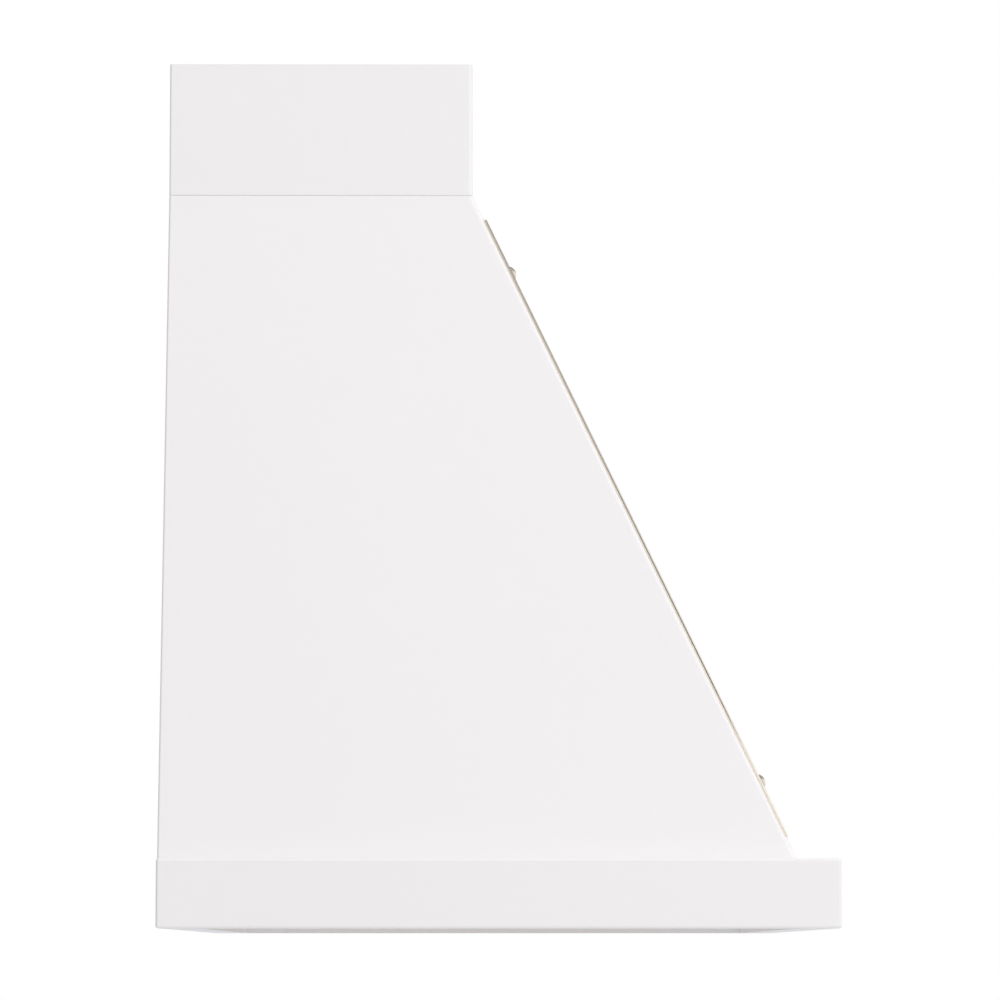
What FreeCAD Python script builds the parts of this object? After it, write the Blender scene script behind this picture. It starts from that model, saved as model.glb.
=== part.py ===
import FreeCAD, Part
import math
import os

from FreeCAD import Vector

# A painted wooden cover that hides a range hood's blower and duct on a kitchen wall.
# Three boxes stand on each other: a low apron, a body whose front and sides lean
# inwards, and a short upright chimney. Lengths are in millimetres. X runs across the
# width, the wall is at +Y, the room at -Y, and Z = 0 is the plane of the bottom edges.

# Outside sizes
overall_width = 914.4
overall_depth = 580.0
overall_height = 762.0
apron_height = 59.0
chimney_height = 117.7
chimney_width = 685.2
chimney_depth = 267.6
side_ledge = 15.0
front_ledge = 36.1

# Boards
board = 19.0
liner_thickness = 16.0
base_frame_width = 45.0
top_frame_width = 38.0
stile_width = 50.0
upper_nailer_height = 90.0
lower_nailer_height = 80.0
body_block_leg = 45.0
chimney_block_leg = 30.0
chimney_block_drop = 10.0
cleat_height = 30.0
wall_rail_height = 60.0

# Eased edges
body_corner_round = 5.0
chimney_corner_round = 4.0
wall_edge_round = 1.8
apron_round = 2.5
seam_round = 1.2

# Brass straps on the front, and their domed buttons
strap_width = 25.4
strap_thickness = 3.2
strap_let_in = 1.4
strap_inset = 1.5
strap_round = 0.8
strap_foot_margin = 22.2
strap_head_margin = 24.6
button_foot_margin = 53.8
button_head_margin = 50.8
button_radius = 7.15
button_height = 3.8
button_rim = 0.5
button_shank_radius = 1.8
button_shank_bite = 11.0

# Fastenings
screw_radius = 2.1
screw_head_radius = 4.1
screw_head_height = 2.4
recess_length = 4.6
recess_width = 0.9
recess_depth = 1.3
screw_bite = 12.0
upright_screw_bite = 15.0
dowel_radius = 4.0
dowel_edge_bite = 20.0
dowel_face_bite = 9.0
dowel_chamfer = 0.8
tongue_width = 14.0
tongue_thickness = 4.0
tongue_stop = 8.0
tongue_share = 0.6

# Room round a fastening, across it and past its end
fit_gap = 0.1
end_gap = 0.4

# Wall fixing holes in the two nailers
stud_spacing = 406.4
wall_hole_radius = 3.5
upper_row_spacing = 50.0

# Places of the fastenings along the boards
row_margin = 60.0
cleat_row_margin = 110.0
liner_across_count = 4
liner_deep_count = 3
frame_across_count = 4
frame_deep_count = 3
top_across_count = 4
top_deep_count = 2
cleat_across_count = 3
stile_dowel_count = 4
pair_inset = 14.0
narrow_pair_inset = 10.0

# Planes that follow from the outside sizes
half_width = overall_width / 2
wall_y = overall_depth / 2
room_y = -overall_depth / 2
foot_z = apron_height
seam_z = overall_height - chimney_height
body_height = seam_z - foot_z
foot_half_width = half_width - side_ledge
foot_front_y = room_y + front_ledge
chimney_half_width = chimney_width / 2
chimney_front_y = wall_y - chimney_depth
front_slope = (chimney_front_y - foot_front_y) / body_height
side_slope = (foot_half_width - chimney_half_width) / body_height
front_level_board = board * math.hypot(1, front_slope)
side_level_board = board * math.hypot(1, side_slope)
apron_inner_x = half_width - board
apron_inner_front_y = room_y + board
apron_inner_back_y = wall_y - board
frame_low_z = apron_height - board
top_frame_low_z = seam_z - board
chimney_inner_x = chimney_half_width - board
chimney_inner_front_y = chimney_front_y + board

# Directions: across the width, back to the wall, and up
ACROSS = Vector(1, 0, 0)
DEEP = Vector(0, 1, 0)
UP = Vector(0, 0, 1)


# ---------------------------------------------------------------- shape helpers

def box(low_x, high_x, low_y, high_y, low_z, high_z):
    """A square-edged board between six planes."""
    size = Vector(high_x - low_x, high_y - low_y, high_z - low_z)
    return Part.makeBox(size.x, size.y, size.z, Vector(low_x, low_y, low_z))


def tapered(low_z, high_z, section):
    """A board whose level outline at height z is section(z), a ring of (x, y) corners."""
    low = [Vector(x, y, low_z) for x, y in section(low_z)]
    high = [Vector(x, y, high_z) for x, y in section(high_z)]
    rings = [low[::-1], high]
    for here in range(len(low)):
        after = (here + 1) % len(low)
        rings.append([low[here], low[after], high[after], high[here]])
    faces = [Part.Face(Part.makePolygon(ring + [ring[0]])) for ring in rings]
    solid = Part.Solid(Part.Shell(faces))
    if solid.Volume < 0:
        solid.reverse()
    return solid


def eased(shape, radius, chosen):
    """Rounds the edges whose middle point passes the test chosen(x, y, z)."""
    edges = []
    for edge in shape.Edges:
        middle = edge.valueAt((edge.FirstParameter + edge.LastParameter) / 2)
        if chosen(middle.x, middle.y, middle.z):
            edges.append(edge)
    return shape.makeFillet(radius, edges)


def near(first, second):
    """Whether two lengths are the same to a hundredth of a millimetre."""
    return abs(first - second) < 0.01


def mirrored(shape):
    """The same piece on the other side of the centre plane."""
    return shape.mirror(Vector(0, 0, 0), ACROSS)


def placed(shape, point, direction):
    """Carries a shape drawn up +Z from the origin to a point, pointing along a direction."""
    moved = shape.copy()
    moved.Placement = FreeCAD.Placement(point, FreeCAD.Rotation(UP, direction)) * shape.Placement
    return moved


def spread(low, high, count):
    """Evenly spaced places from low to high, both included."""
    if count < 2:
        return [(low + high) / 2]
    step = (high - low) / (count - 1)
    return [low + step * place for place in range(count)]


def bored(shape, tools):
    """A board with its holes and housings cut out."""
    return shape.cut(tools)


# ---------------------------------------------------------------- fastenings

def screw(length):
    """A countersunk wood screw: its head's face at the origin, its tip up +Z."""
    head = Part.makeCone(screw_head_radius, screw_radius, screw_head_height)
    shank = Part.makeCylinder(screw_radius, length - screw_radius)
    tip = Part.makeCone(screw_radius, 0, screw_radius, Vector(0, 0, length - screw_radius))
    slot = Part.makeBox(recess_length, recess_width, recess_depth)
    slot.translate(Vector(-recess_length / 2, -recess_width / 2, 0))
    cross = slot.copy()
    cross.rotate(Vector(0, 0, 0), UP, 90)
    return head.fuse([shank, tip]).removeSplitter().cut(slot.fuse(cross))


def screw_hole(length):
    """The hole for that screw, wider by the fit gap and deeper by the end gap."""
    sink = Part.makeCone(screw_head_radius + fit_gap, screw_radius + fit_gap, screw_head_height)
    shank = Part.makeCylinder(screw_radius + fit_gap, length + end_gap)
    return sink.fuse(shank)


def dowel(length):
    """A wooden dowel with its ends chamfered, centred on the origin along Z."""
    pin = Part.makeCylinder(dowel_radius, length, Vector(0, 0, -length / 2))
    rims = [edge for edge in pin.Edges if near(edge.Length, 2 * math.pi * dowel_radius)]
    return pin.makeChamfer(dowel_chamfer, rims)


def dowel_hole(low_bite, high_bite):
    """The hole for a dowel across a joint at the origin, a bite deep to each side."""
    length = low_bite + high_bite + 2 * end_gap
    return Part.makeCylinder(dowel_radius + fit_gap, length, Vector(0, 0, -low_bite - end_gap))


def screw_row(points, direction, length):
    """Screws at the points along one direction, and the holes that take them."""
    pieces = [placed(screw(length), point, direction) for point in points]
    holes = [placed(screw_hole(length), point, direction) for point in points]
    return pieces, holes


def dowel_row(points, direction, low_bite, high_bite):
    """Dowels across a joint at the points, the higher bite along the direction."""
    pin = dowel(low_bite + high_bite)
    pin.translate(Vector(0, 0, (high_bite - low_bite) / 2))
    pieces = [placed(pin, point, direction) for point in points]
    holes = [placed(dowel_hole(low_bite, high_bite), point, direction) for point in points]
    return pieces, holes


def both_sides(shapes):
    """The shapes and their mirror copies."""
    return shapes + [mirrored(shape) for shape in shapes]


# ---------------------------------------------------------------- leaning planes

def front_y(z):
    """The body's front face at height z."""
    return foot_front_y + front_slope * (z - foot_z)


def side_x(z):
    """The body's half width at height z."""
    return foot_half_width - side_slope * (z - foot_z)


def inner_y(z):
    """The inner face of the front panel at height z."""
    return front_y(z) + front_level_board


def inner_x(z):
    """The inner face of a side panel at height z."""
    return side_x(z) - side_level_board


# ---------------------------------------------------------------- outer forms

def apron_form():
    """The apron as one eased block, from which its boards are taken."""
    block = box(-half_width, half_width, room_y, wall_y, 0, apron_height)
    return block.makeFillet(apron_round, block.Edges)


def body_form():
    """The leaning body as one block, its upright and top edges eased."""
    def outline(z):
        x = side_x(z)
        return [(-x, front_y(z)), (x, front_y(z)), (x, wall_y), (-x, wall_y)]

    block = tapered(foot_z, seam_z, outline)
    block = eased(block, body_corner_round, lambda x, y, z: near(y, front_y(z)) and near(abs(x), side_x(z)))
    block = eased(block, wall_edge_round, lambda x, y, z: near(y, wall_y) and near(abs(x), side_x(z)))
    return eased(block, seam_round, lambda x, y, z: near(z, seam_z))


def chimney_form():
    """The chimney as one block, its front corners eased more than its other edges."""
    block = box(-chimney_half_width, chimney_half_width, chimney_front_y, wall_y, seam_z, overall_height)
    block = eased(block, chimney_corner_round,
                  lambda x, y, z: near(y, chimney_front_y) and near(abs(x), chimney_half_width))
    block = eased(block, wall_edge_round,
                  lambda x, y, z: near(y, wall_y) and near(abs(x), chimney_half_width))
    return eased(block, seam_round, lambda x, y, z: near(z, seam_z) or near(z, overall_height))


# ---------------------------------------------------------------- straps

def strap_frame():
    """Places a strap: X across it, Y up the body's left front edge, Z out of the front."""
    foot = Vector(-side_x(foot_z), front_y(foot_z), foot_z)
    head = Vector(-side_x(seam_z), front_y(seam_z), seam_z)
    along = (head - foot).normalize()
    outward = Vector(0, -1, front_slope).normalize()
    across = along.cross(outward)
    matrix = FreeCAD.Matrix()
    for column, axis in enumerate([across, along, outward]):
        matrix.setCol(column, axis)
    matrix.setCol(3, foot)
    return FreeCAD.Placement(matrix), (head - foot).Length


def in_strap_frame(shape):
    """Carries a shape drawn on a flat strap to its place on the left of the front."""
    moved = shape.copy()
    moved.Placement = strap_frame()[0] * shape.Placement
    return moved


edge_length = strap_frame()[1]
strap_start = strap_foot_margin
strap_end = edge_length - strap_head_margin
strap_face = strap_thickness - strap_let_in
strap_middle = strap_inset + strap_width / 2
button_places = [strap_start + button_foot_margin, strap_end - button_head_margin]
shank_length = button_shank_bite + strap_face


def strap():
    """The left strap, a flat bar with its outer edges eased and two shank holes."""
    length = strap_end - strap_start
    bar = Part.makeBox(strap_width, length, strap_thickness)
    bar.translate(Vector(strap_inset, strap_start, -strap_let_in))
    bar = eased(bar, strap_round, lambda x, y, z: near(z, strap_face))
    return bored(in_strap_frame(bar), [in_strap_frame(hole) for hole in shank_holes()])


def strap_housing():
    """The shallow housing for the left strap, open at the eased corner."""
    length = strap_end - strap_start + 2 * fit_gap
    room = Part.makeBox(body_corner_round + strap_inset + strap_width + fit_gap, length, body_corner_round)
    room.translate(Vector(-body_corner_round, strap_start - fit_gap, -strap_let_in))
    return in_strap_frame(room)


def shank_holes():
    """The holes that the two buttons' shanks go down, in the strap's own frame."""
    depth = shank_length + end_gap
    holes = []
    for place in button_places:
        bottom = Vector(strap_middle, place, strap_face - depth)
        holes.append(Part.makeCylinder(button_shank_radius + fit_gap, depth, bottom))
    return holes


def buttons():
    """The left strap's two domed buttons, each with its shank."""
    ball_radius = (button_radius ** 2 + button_height ** 2) / (2 * button_height)
    dome = Part.makeSphere(ball_radius, Vector(0, 0, button_height - ball_radius))
    barrel = Part.makeCylinder(button_radius - button_rim / 2, button_height)
    shank = Part.makeCylinder(button_shank_radius, shank_length, Vector(0, 0, -shank_length))
    whole = dome.common(barrel).fuse(shank)
    pieces = []
    for place in button_places:
        piece = whole.copy()
        piece.translate(Vector(strap_middle, place, strap_face))
        pieces.append(in_strap_frame(piece))
    return pieces


# ---------------------------------------------------------------- the assemblies

def make_apron():
    """Three boards mitred at the front corners, a back board between the sides."""
    form = apron_form()
    corners = [(-half_width, room_y), (-apron_inner_x, apron_inner_front_y)]
    front = tapered(0, apron_height, lambda z: corners + [(-x, y) for x, y in reversed(corners)])
    side = tapered(0, apron_height, lambda z: corners + [(-apron_inner_x, wall_y), (-half_width, wall_y)])
    back = box(-apron_inner_x, apron_inner_x, apron_inner_back_y, wall_y, 0, apron_height)

    tongue_height = apron_height - 2 * tongue_stop
    tongue = Part.makeBox(tongue_width, tongue_thickness, tongue_height)
    slot = Part.makeBox(tongue_width + 2 * end_gap, tongue_thickness + 2 * fit_gap, tongue_height + 2 * end_gap)
    tongue.translate(Vector(-tongue_width / 2, -tongue_thickness / 2, 0))
    slot.translate(Vector(-tongue_width / 2 - end_gap, -tongue_thickness / 2 - fit_gap, -end_gap))
    tongue_inset = board * tongue_share
    middle = Vector(-half_width + tongue_inset, room_y + tongue_inset, tongue_stop)
    for shape in (tongue, slot):
        shape.rotate(Vector(0, 0, 0), UP, -45)
        shape.translate(middle)

    joint_z = [pair_inset, apron_height - pair_inset]
    joints = [Vector(-apron_inner_x, wall_y - board / 2, z) for z in joint_z]
    pins, pin_holes = dowel_row(joints, ACROSS, dowel_face_bite, dowel_edge_bite)
    left = bored(side.common(form), [slot] + pin_holes)
    return {
        "apron_front": bored(front.common(form), both_sides([slot])),
        "apron_left": left,
        "apron_right": mirrored(left),
        "apron_back": bored(back.common(form), both_sides(pin_holes)),
        "apron_tongues": Part.makeCompound(both_sides([tongue])),
        "apron_dowels": Part.makeCompound(both_sides(pins)),
    }


def make_liner(apron):
    """Rails inside the apron, under the base frame, screwed to the apron's boards."""
    front_y_in = apron_inner_front_y + liner_thickness
    back_y_in = apron_inner_back_y - liner_thickness
    side_x_in = apron_inner_x - liner_thickness
    length = liner_thickness + screw_bite
    middle_z = frame_low_z / 2
    across = spread(-side_x_in + row_margin, side_x_in - row_margin, liner_across_count)
    deep = spread(front_y_in + row_margin, back_y_in - row_margin, liner_deep_count)
    rows = {
        "front": screw_row([Vector(x, front_y_in, middle_z) for x in across], -DEEP, length),
        "back": screw_row([Vector(x, back_y_in, middle_z) for x in across], DEEP, length),
        "left": screw_row([Vector(-side_x_in, y, middle_z) for y in deep], -ACROSS, length),
        "right": screw_row([Vector(side_x_in, y, middle_z) for y in deep], ACROSS, length),
    }
    rails = {
        "front": box(-apron_inner_x, apron_inner_x, apron_inner_front_y, front_y_in, 0, frame_low_z),
        "back": box(-apron_inner_x, apron_inner_x, back_y_in, apron_inner_back_y, 0, frame_low_z),
        "left": box(-apron_inner_x, -side_x_in, front_y_in, back_y_in, 0, frame_low_z),
        "right": box(side_x_in, apron_inner_x, front_y_in, back_y_in, 0, frame_low_z),
    }
    pieces = {}
    screws = []
    for side, (row, holes) in rows.items():
        pieces["liner_rail_" + side] = bored(rails[side], holes)
        pieces["apron_" + side] = bored(apron["apron_" + side], holes)
        screws += row
    pieces["liner_screws"] = Part.makeCompound(screws)
    return pieces


def make_base_frame():
    """The flat frame that closes the ledge and carries the body, and its fastenings."""
    inner_front = apron_inner_front_y + base_frame_width
    inner_back = apron_inner_back_y - base_frame_width
    inner_side = apron_inner_x - base_frame_width
    middle_z = frame_low_z + board / 2
    joint_x = [-apron_inner_x + pair_inset, -inner_side - pair_inset]
    pins, holes = dowel_row([Vector(x, inner_front, middle_z) for x in joint_x], DEEP,
                            dowel_edge_bite, dowel_edge_bite)
    back_pins, back_holes = dowel_row([Vector(x, inner_back, middle_z) for x in joint_x], DEEP,
                                      dowel_edge_bite, dowel_edge_bite)

    length = board + upright_screw_bite
    bite_z = foot_z + upright_screw_bite / 2
    panel_y = (front_y(bite_z) + inner_y(bite_z)) / 2
    panel_x = (side_x(bite_z) + inner_x(bite_z)) / 2
    reach = inner_x(foot_z) - row_margin
    across = spread(-reach, reach, frame_across_count)
    deep = spread(inner_front + row_margin, inner_back - row_margin, frame_deep_count)
    front_screws, front_holes = screw_row([Vector(x, panel_y, frame_low_z) for x in across], UP, length)
    left_screws, left_holes = screw_row([Vector(-panel_x, y, frame_low_z) for y in deep], UP, length)

    front = box(-apron_inner_x, apron_inner_x, apron_inner_front_y, inner_front, frame_low_z, foot_z)
    back = box(-apron_inner_x, apron_inner_x, inner_back, apron_inner_back_y, frame_low_z, foot_z)
    left = box(-apron_inner_x, -inner_side, inner_front, inner_back, frame_low_z, foot_z)
    left = bored(left, holes + back_holes + left_holes)
    pieces = {
        "base_frame_front": bored(front, both_sides(holes) + front_holes),
        "base_frame_back": bored(back, both_sides(back_holes)),
        "base_frame_left": left,
        "base_frame_right": mirrored(left),
        "base_frame_dowels": Part.makeCompound(both_sides(pins + back_pins)),
        "base_frame_screws": Part.makeCompound(front_screws + both_sides(left_screws)),
    }
    return pieces, front_holes, left_holes


def make_back():
    """Two stiles on the side panels and two nailers between them, all at the wall."""
    front_plane = wall_y - board
    middle_y = wall_y - board / 2

    def stile_outline(z):
        outer = -inner_x(z)
        inner = outer + stile_width
        return [(outer, front_plane), (inner, front_plane), (inner, wall_y), (outer, wall_y)]

    def nailer_outline(z):
        x = inner_x(z) - stile_width
        return [(-x, front_plane), (x, front_plane), (x, wall_y), (-x, wall_y)]

    lower_top_z = foot_z + lower_nailer_height
    upper_low_z = seam_z - upper_nailer_height
    dowel_z = spread(foot_z + row_margin, seam_z - row_margin, stile_dowel_count)
    joints = [Vector(-inner_x(z), middle_y, z) for z in dowel_z]
    stile_pins, stile_holes = dowel_row(joints, ACROSS, dowel_face_bite, dowel_edge_bite)

    pair_z = [foot_z + pair_inset, lower_top_z - pair_inset]
    pair_z += [upper_low_z + pair_inset, top_frame_low_z - pair_inset]
    joints = [Vector(stile_width - inner_x(z), middle_y, z) for z in pair_z]
    nailer_pins, nailer_holes = dowel_row(joints, ACROSS, dowel_edge_bite, dowel_edge_bite)

    upper_middle_z = seam_z - upper_nailer_height / 2
    lower_middle_z = foot_z + lower_nailer_height / 2
    hole = Part.makeCylinder(wall_hole_radius, board, Vector(0, 0, 0), DEEP)
    wall_holes = []
    for x in (-stud_spacing / 2, stud_spacing / 2):
        for z in (upper_middle_z - upper_row_spacing / 2, upper_middle_z + upper_row_spacing / 2,
                  lower_middle_z):
            tool = hole.copy()
            tool.translate(Vector(x, front_plane, z))
            wall_holes.append(tool)

    nailer_tools = both_sides(nailer_holes) + wall_holes
    stile = bored(tapered(foot_z, seam_z, stile_outline), stile_holes + nailer_holes)
    pieces = {
        "left_back_stile": stile,
        "upper_nailer": bored(tapered(upper_low_z, seam_z, nailer_outline), nailer_tools),
        "lower_nailer": bored(tapered(foot_z, lower_top_z, nailer_outline), nailer_tools),
        "stile_dowels": Part.makeCompound(both_sides(stile_pins)),
        "nailer_dowels": Part.makeCompound(both_sides(nailer_pins)),
    }
    return pieces, stile_holes


def chimney_fixing_screws(frame_front_y, back_y):
    """Upright screws through the top frame into the chimney's foot cleats."""
    reach = chimney_inner_x - cleat_row_margin
    cleat_y = chimney_inner_front_y + board / 2
    cleat_x = chimney_inner_x - board / 2
    middle_y = (frame_front_y + back_y) / 2
    points = [Vector(x, cleat_y, top_frame_low_z) for x in spread(-reach, reach, cleat_across_count)]
    points += [Vector(-cleat_x, middle_y, top_frame_low_z), Vector(cleat_x, middle_y, top_frame_low_z)]
    return screw_row(points, UP, board + upright_screw_bite)


def make_top_frame():
    """The flat frame inside the seam, which ties the panels and takes the chimney."""
    back_y = wall_y - board
    frame_front_y = inner_y(seam_z) + top_frame_width
    frame_side_x = inner_x(seam_z) - top_frame_width
    middle_z = seam_z - board / 2

    def front_outline(z):
        x = inner_x(z)
        return [(-x, inner_y(z)), (x, inner_y(z)), (x, frame_front_y), (-x, frame_front_y)]

    def left_outline(z):
        x = -inner_x(z)
        return [(x, frame_front_y), (-frame_side_x, frame_front_y), (-frame_side_x, back_y), (x, back_y)]

    joint_x = [-inner_x(seam_z) + narrow_pair_inset, -frame_side_x - narrow_pair_inset]
    pins, holes = dowel_row([Vector(x, frame_front_y, middle_z) for x in joint_x], DEEP,
                            dowel_edge_bite, dowel_edge_bite)
    back_joint = Vector(-frame_side_x - top_frame_width / 2, back_y, middle_z)
    back_pins, back_holes = dowel_row([back_joint], DEEP, dowel_edge_bite, dowel_face_bite)

    across = spread(-frame_side_x + row_margin, frame_side_x - row_margin, top_across_count)
    deep = spread(frame_front_y + row_margin, back_y - row_margin, top_deep_count)
    front_length = frame_front_y - inner_y(middle_z) + screw_bite
    side_length = inner_x(middle_z) - frame_side_x + screw_bite
    front_screws, front_holes = screw_row([Vector(x, frame_front_y, middle_z) for x in across],
                                          -DEEP, front_length)
    left_screws, left_holes = screw_row([Vector(-frame_side_x, y, middle_z) for y in deep],
                                        -ACROSS, side_length)

    cleat_screws, cleat_holes = chimney_fixing_screws(frame_front_y, back_y)
    left = bored(tapered(top_frame_low_z, seam_z, left_outline),
                 holes + back_holes + left_holes + cleat_holes)
    pieces = {
        "top_frame_front": bored(tapered(top_frame_low_z, seam_z, front_outline),
                                 both_sides(holes) + front_holes + cleat_holes),
        "top_frame_left": left,
        "top_frame_right": mirrored(left),
        "top_frame_dowels": Part.makeCompound(both_sides(pins + back_pins)),
        "top_frame_screws": Part.makeCompound(front_screws + both_sides(left_screws)),
        "chimney_fixing_screws": Part.makeCompound(cleat_screws),
    }
    return pieces, front_holes, left_holes, back_holes, cleat_holes


def make_body(front_tools, left_tools):
    """Three mitred panels, their corner blocks, and the housings for the straps."""
    form = body_form()

    def front_outline(z):
        return [(-side_x(z), front_y(z)), (side_x(z), front_y(z)), (inner_x(z), inner_y(z)),
                (-inner_x(z), inner_y(z))]

    def left_outline(z):
        return [(-side_x(z), front_y(z)), (-inner_x(z), inner_y(z)), (-inner_x(z), wall_y),
                (-side_x(z), wall_y)]

    def block_outline(z):
        x = -inner_x(z)
        return [(x, inner_y(z)), (x + body_block_leg, inner_y(z)), (x, inner_y(z) + body_block_leg)]

    housing = strap_housing()
    shanks = [in_strap_frame(hole) for hole in shank_holes()]
    front = tapered(foot_z, seam_z, front_outline).common(form)
    left = bored(tapered(foot_z, seam_z, left_outline).common(form), [housing] + left_tools)
    block = tapered(foot_z, top_frame_low_z, block_outline)
    return {
        "front_panel": bored(front, both_sides([housing] + shanks) + front_tools),
        "left_side_panel": left,
        "right_side_panel": mirrored(left),
        "left_corner_block": block,
        "right_corner_block": mirrored(block),
    }


def make_chimney(fixing_holes):
    """Three mitred boards, a wall rail, foot cleats and corner blocks."""
    form = chimney_form()
    low_z = seam_z
    cleat_top_z = seam_z + cleat_height
    rail_low_z = overall_height - wall_rail_height
    inner = chimney_inner_x
    corners = [(-chimney_half_width, chimney_front_y), (-inner, chimney_inner_front_y)]
    front = tapered(low_z, overall_height, lambda z: corners + [(-x, y) for x, y in reversed(corners)])
    side = tapered(low_z, overall_height,
                   lambda z: corners + [(-inner, wall_y), (-chimney_half_width, wall_y)])
    rail = box(-inner, inner, wall_y - board, wall_y, rail_low_z, overall_height)

    joint_z = [rail_low_z + pair_inset, overall_height - pair_inset]
    joints = [Vector(-inner, wall_y - board / 2, z) for z in joint_z]
    pins, pin_holes = dowel_row(joints, ACROSS, dowel_face_bite, dowel_edge_bite)

    cleat_back_y = chimney_inner_front_y + board
    screw_z = (seam_z + upright_screw_bite + cleat_top_z) / 2
    length = board + screw_bite
    reach = inner - row_margin
    across = spread(-reach, reach, top_across_count)
    deep = spread(cleat_back_y + row_margin, wall_y - row_margin, top_deep_count)
    front_screws, front_holes = screw_row([Vector(x, cleat_back_y, screw_z) for x in across], -DEEP, length)
    left_screws, left_holes = screw_row([Vector(board - inner, y, screw_z) for y in deep], -ACROSS, length)

    front_cleat = box(-inner, inner, chimney_inner_front_y, cleat_back_y, seam_z, cleat_top_z)
    left_cleat = box(-inner, board - inner, cleat_back_y, wall_y, seam_z, cleat_top_z)

    def block_outline(z):
        y = chimney_inner_front_y
        return [(-inner, y), (chimney_block_leg - inner, y), (-inner, y + chimney_block_leg)]

    block = tapered(cleat_top_z, overall_height - chimney_block_drop, block_outline)
    left_board = bored(side.common(form), pin_holes + left_holes)
    left_cleat = bored(left_cleat, left_holes + fixing_holes)
    return {
        "chimney_front": bored(front.common(form), front_holes),
        "chimney_left": left_board,
        "chimney_right": mirrored(left_board),
        "chimney_wall_rail": bored(rail, both_sides(pin_holes)),
        "chimney_dowels": Part.makeCompound(both_sides(pins)),
        "chimney_cleat_front": bored(front_cleat, front_holes + fixing_holes),
        "chimney_cleat_left": left_cleat,
        "chimney_cleat_right": mirrored(left_cleat),
        "chimney_block_left": block,
        "chimney_block_right": mirrored(block),
        "chimney_cleat_screws": Part.makeCompound(front_screws + both_sides(left_screws)),
    }


def make_trim():
    """The two straps and their four buttons."""
    bar = strap()
    return {
        "left_strap": bar,
        "right_strap": mirrored(bar),
        "strap_buttons": Part.makeCompound(both_sides(buttons())),
    }


# ---------------------------------------------------------------- the whole cover

apron_pieces = make_apron()
apron_pieces.update(make_liner(apron_pieces))
base_pieces, foot_front_holes, foot_left_holes = make_base_frame()
back_pieces, stile_wall_holes = make_back()
top_pieces, top_front_holes, top_left_holes, top_back_holes, cleat_fixing_holes = make_top_frame()
back_pieces["left_back_stile"] = bored(back_pieces["left_back_stile"], top_back_holes)
back_pieces["right_back_stile"] = mirrored(back_pieces["left_back_stile"])

nodes = {}
nodes.update(apron_pieces)
nodes.update(base_pieces)
nodes.update(back_pieces)
nodes.update(top_pieces)
nodes.update(make_body(foot_front_holes + top_front_holes,
                       foot_left_holes + top_left_holes + stile_wall_holes))
nodes.update(make_chimney(cleat_fixing_holes))
nodes.update(make_trim())

os.makedirs("parts", exist_ok=True)
for name, shape in nodes.items():
    shape.exportStep("parts/" + name + ".step")
    corners = shape.BoundBox
    print(name, len(shape.Solids), "solids", round(shape.Volume), "mm3, valid", shape.isValid(),
          "z", round(corners.ZMin, 1), "to", round(corners.ZMax, 1))
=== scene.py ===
# %% [markdown]
# # A painted wooden cover for a kitchen range hood
#
# The cover hangs on a kitchen wall and hides a hood's blower and duct. Its carpentry comes from the packed
# CAD model: mitred boards, a flat frame at the foot, another under the chimney, two stiles and two nailers at
# the wall. This file gives those boards their paint and grain, makes the small turned and threaded parts
# anew in finer detail, and sets up the studio and the camera. All lengths are in metres, X runs across the
# width, the wall is at +Y and the bottom edges lie at Z = 0.

# %% Load the frame
import math

import bpy
import numpy as np
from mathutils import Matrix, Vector


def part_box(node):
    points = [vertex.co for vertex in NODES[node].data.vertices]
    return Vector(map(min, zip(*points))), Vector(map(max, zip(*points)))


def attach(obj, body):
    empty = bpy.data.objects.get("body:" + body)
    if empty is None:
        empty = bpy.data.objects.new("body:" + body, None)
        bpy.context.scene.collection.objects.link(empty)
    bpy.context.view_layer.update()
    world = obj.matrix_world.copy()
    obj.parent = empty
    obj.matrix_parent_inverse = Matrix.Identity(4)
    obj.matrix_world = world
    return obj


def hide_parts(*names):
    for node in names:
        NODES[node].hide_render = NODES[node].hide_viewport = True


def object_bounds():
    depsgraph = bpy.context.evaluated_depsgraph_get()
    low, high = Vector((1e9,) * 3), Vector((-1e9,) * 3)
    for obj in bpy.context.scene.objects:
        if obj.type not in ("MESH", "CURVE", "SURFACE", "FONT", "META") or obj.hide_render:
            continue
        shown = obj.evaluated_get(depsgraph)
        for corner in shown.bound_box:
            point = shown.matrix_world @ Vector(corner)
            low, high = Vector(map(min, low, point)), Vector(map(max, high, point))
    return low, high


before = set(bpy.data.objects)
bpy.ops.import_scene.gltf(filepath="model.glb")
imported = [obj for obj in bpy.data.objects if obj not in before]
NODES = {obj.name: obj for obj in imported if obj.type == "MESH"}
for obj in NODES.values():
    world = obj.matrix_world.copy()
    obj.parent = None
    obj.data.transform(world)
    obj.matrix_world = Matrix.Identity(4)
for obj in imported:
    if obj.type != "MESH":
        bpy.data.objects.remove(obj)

cad_low, cad_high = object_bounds()
centre = (cad_low + cad_high) / 2
print("nodes:", len(NODES), " box:", [round(side, 4) for side in cad_high - cad_low])

# %% [markdown]
# ## The camera
#
# The picture is a side view taken with a long lens from more than four metres, a little below the bottom
# edges, so that a thin strip of the underside shows. The place and the two angles were solved from the
# corners of the apron, the seam and the straps. The focal length is known in pixels of a square picture, and
# Blender wants it in millimetres on its sensor, so it is scaled by the sensor's width over the picture's.

# %% Camera
PICTURE_SIDE = 1000
FOCAL_PIXELS = 4650.5
SENSOR = 36.0
CAMERA_PLACE = Vector((-4.4, 0.02365, -0.02158))
YAW = math.radians(-0.358)
PITCH = math.radians(5.577)

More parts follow.
